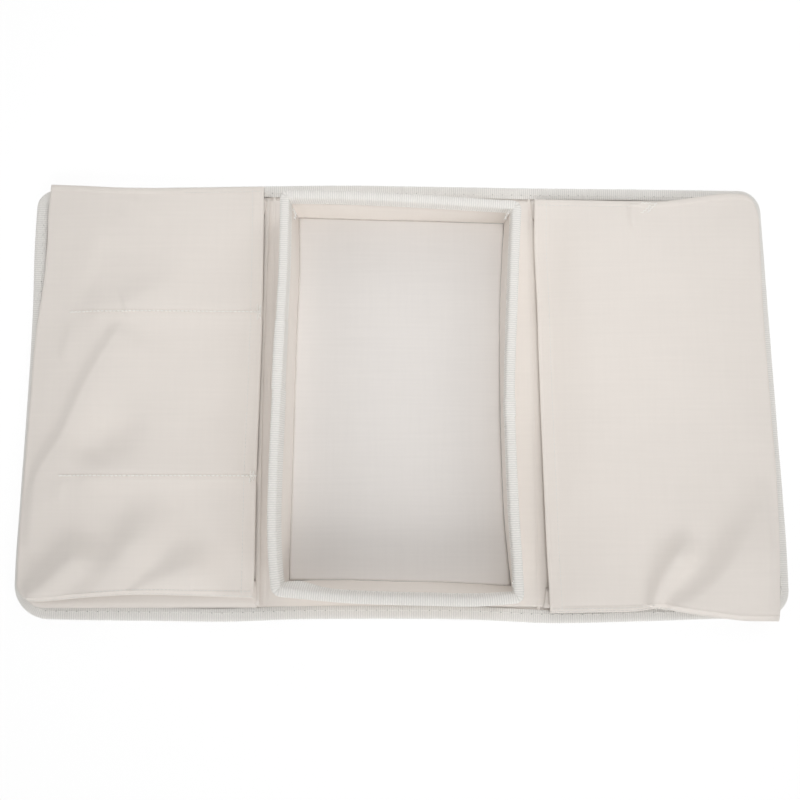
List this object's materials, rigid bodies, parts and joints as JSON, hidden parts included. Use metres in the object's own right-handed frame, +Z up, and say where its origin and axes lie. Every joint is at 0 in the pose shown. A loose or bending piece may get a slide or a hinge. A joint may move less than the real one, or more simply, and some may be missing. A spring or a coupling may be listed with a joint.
{
  "type": "sofa armrest organizer",
  "caption": "Fabric organizer that lies over a sofa arm: a bound mat with a walled tray in the middle and a hinged pocket flap on each side.",
  "frame": {"origin": "middle of the mat's outline, on the underside that rests on the sofa arm", "axes": "+X along the mat's long side, towards the undivided pocket; +Y along the arm, away from the viewer in the picture; +Z up out of the tray"},
  "size_m": [0.6, 0.35, 0.0412],
  "materials": {
    "pocket_cloth": "matte woven",
    "tray_floor_cloth": "matte woven",
    "grosgrain_tape": "ribbed, slight sheen",
    "sewing_thread": "satin",
    "stiffener_board": "matte"
  },
  "bodies": {
    "centre": {"centre_back_cover": "pocket_cloth", "centre_board": "stiffener_board", "centre_top_cover": "pocket_cloth", "centre_edge_binding_far": "grosgrain_tape", "centre_edge_binding_near": "grosgrain_tape", "left_fold_seam": "pocket_cloth", "right_fold_seam": "pocket_cloth", "tray_floor_board": "stiffener_board", "tray_floor_cover": "tray_floor_cloth", "tray_wall_cover_left": "pocket_cloth", "tray_wall_cover_right": "pocket_cloth", "tray_wall_cover_far": "pocket_cloth", "tray_wall_cover_near": "pocket_cloth", "tray_wall_board_left": "stiffener_board", "tray_wall_board_right": "stiffener_board", "tray_wall_board_far": "stiffener_board", "tray_wall_board_near": "stiffener_board", "tray_rim_binding": "grosgrain_tape", "tray_corner_seam_left_near": "sewing_thread", "tray_corner_seam_left_far": "sewing_thread", "tray_corner_seam_right_near": "sewing_thread", "tray_corner_seam_right_far": "sewing_thread"},
    "left_flap": {"left_flap_back_cover": "pocket_cloth", "left_flap_board": "stiffener_board", "left_flap_top_cover": "pocket_cloth", "left_flap_edge_binding": "grosgrain_tape", "left_pocket_back_panel": "pocket_cloth", "left_pocket_front": "pocket_cloth", "left_pocket_gusset": "pocket_cloth", "left_pocket_divider_seam_far": "sewing_thread", "left_pocket_divider_seam_near": "sewing_thread"},
    "right_flap": {"right_flap_back_cover": "pocket_cloth", "right_flap_board": "stiffener_board", "right_flap_top_cover": "pocket_cloth", "right_flap_edge_binding": "grosgrain_tape", "right_pocket_front": "pocket_cloth", "right_pocket_gusset": "pocket_cloth", "right_pocket_tack_far": "sewing_thread", "right_pocket_tack_near": "sewing_thread"}
  },
  "joints": [
    {"name": "left_flap_fold", "type": "hinge", "parent": "centre", "child": "left_flap", "pos_m": [-0.1055, 0, 0.00185], "axis": [0, -1, 0], "range_deg": [-75, 90]},
    {"name": "right_flap_fold", "type": "hinge", "parent": "centre", "child": "right_flap", "pos_m": [0.1055, 0, 0.00185], "axis": [0, 1, 0], "range_deg": [-75, 90]}
  ]
}
